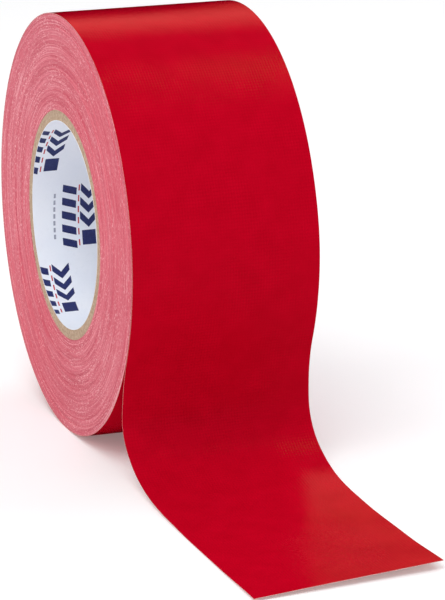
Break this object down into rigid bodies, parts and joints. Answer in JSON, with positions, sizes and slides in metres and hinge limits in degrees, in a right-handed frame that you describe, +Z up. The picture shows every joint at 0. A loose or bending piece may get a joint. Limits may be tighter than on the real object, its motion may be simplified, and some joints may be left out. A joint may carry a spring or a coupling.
{
  "type": "duct tape roll",
  "caption": "Wide roll of red cloth tape on a paperboard core, standing on its rim, with a loose tail off its front that bends along a chain of folds.",
  "frame": {"origin": "centre of the core's bore, midway between the roll's two side faces", "axes": "+Y along the roll's axis, from the side that the picture shows towards the hidden side; +Z up; the loose tail runs out along the floor towards +X"},
  "size_m": [0.276, 0.07, 0.156],
  "materials": {
    "liner_paper": "smooth white coated paper with small dark blue and red printed shapes",
    "kraft_board": "matt brown kraft paperboard, cut edge showing its plies",
    "wound_tape": "pink cut edges of the wound turns, matt, with fine concentric lines and pale cloth fibres",
    "backing_film": "glossy red film with the faint weave of the cloth below it",
    "cloth": "open woven cloth, matt",
    "adhesive": "tacky pale adhesive with the cloth's grid showing"
  },
  "bodies": {
    "roll": {"core_liner": "liner_paper", "core_ply_1": "kraft_board", "core_ply_2": "kraft_board", "core_ply_3": "kraft_board", "core_ply_4": "kraft_board", "core_ply_5": "kraft_board", "core_ply_6": "kraft_board", "core_ply_7": "kraft_board", "wound_tape": "wound_tape", "outer_turn_adhesive": "adhesive", "outer_turn_cloth": "cloth", "outer_turn_film": "backing_film"},
    "tail_1": {"tail_1_film": "backing_film", "tail_1_cloth": "cloth", "tail_1_adhesive": "adhesive"},
    "tail_2": {"tail_2_film": "backing_film", "tail_2_cloth": "cloth", "tail_2_adhesive": "adhesive"},
    "tail_3": {"tail_3_film": "backing_film", "tail_3_cloth": "cloth", "tail_3_adhesive": "adhesive"},
    "tail_4": {"tail_4_film": "backing_film", "tail_4_cloth": "cloth", "tail_4_adhesive": "adhesive"},
    "tail_5": {"tail_5_film": "backing_film", "tail_5_cloth": "cloth", "tail_5_adhesive": "adhesive"},
    "tail_6": {"tail_6_film": "backing_film", "tail_6_cloth": "cloth", "tail_6_adhesive": "adhesive"},
    "tail_7": {"tail_7_film": "backing_film", "tail_7_cloth": "cloth", "tail_7_adhesive": "adhesive"},
    "tail_8": {"tail_8_film": "backing_film", "tail_8_cloth": "cloth", "tail_8_adhesive": "adhesive"}
  },
  "joints": [
    {"name": "tail_peel", "type": "hinge", "parent": "roll", "child": "tail_1", "pos_m": [0.07164, 0, -0.0319], "axis": [0, -1, 0], "range_deg": [-7.5, 50]},
    {"name": "tail_bend_1", "type": "hinge", "parent": "tail_1", "child": "tail_2", "pos_m": [0.0671, 0, -0.0473], "axis": [0, -1, 0], "range_deg": [-32.5, 12]},
    {"name": "tail_bend_2", "type": "hinge", "parent": "tail_2", "child": "tail_3", "pos_m": [0.067, 0, -0.0602], "axis": [0, -1, 0], "range_deg": [-54, 12]},
    {"name": "tail_bend_3", "type": "hinge", "parent": "tail_3", "child": "tail_4", "pos_m": [0.0754, 0, -0.0686], "axis": [0, -1, 0], "range_deg": [-31, 12]},
    {"name": "tail_bend_4", "type": "hinge", "parent": "tail_4", "child": "tail_5", "pos_m": [0.0881, 0, -0.0741], "axis": [0, -1, 0], "range_deg": [-26.5, 10]},
    {"name": "tail_bend_5", "type": "hinge", "parent": "tail_5", "child": "tail_6", "pos_m": [0.1079, 0, -0.0771], "axis": [0, -1, 0], "range_deg": [-24.5, 10]},
    {"name": "tail_bend_6", "type": "hinge", "parent": "tail_6", "child": "tail_7", "pos_m": [0.1358, 0, -0.07788], "axis": [0, -1, 0], "range_deg": [-22.5, 12]},
    {"name": "tail_bend_7", "type": "hinge", "parent": "tail_7", "child": "tail_8", "pos_m": [0.1658, 0, -0.07788], "axis": [0, -1, 0], "range_deg": [-20.5, 18]}
  ]
}
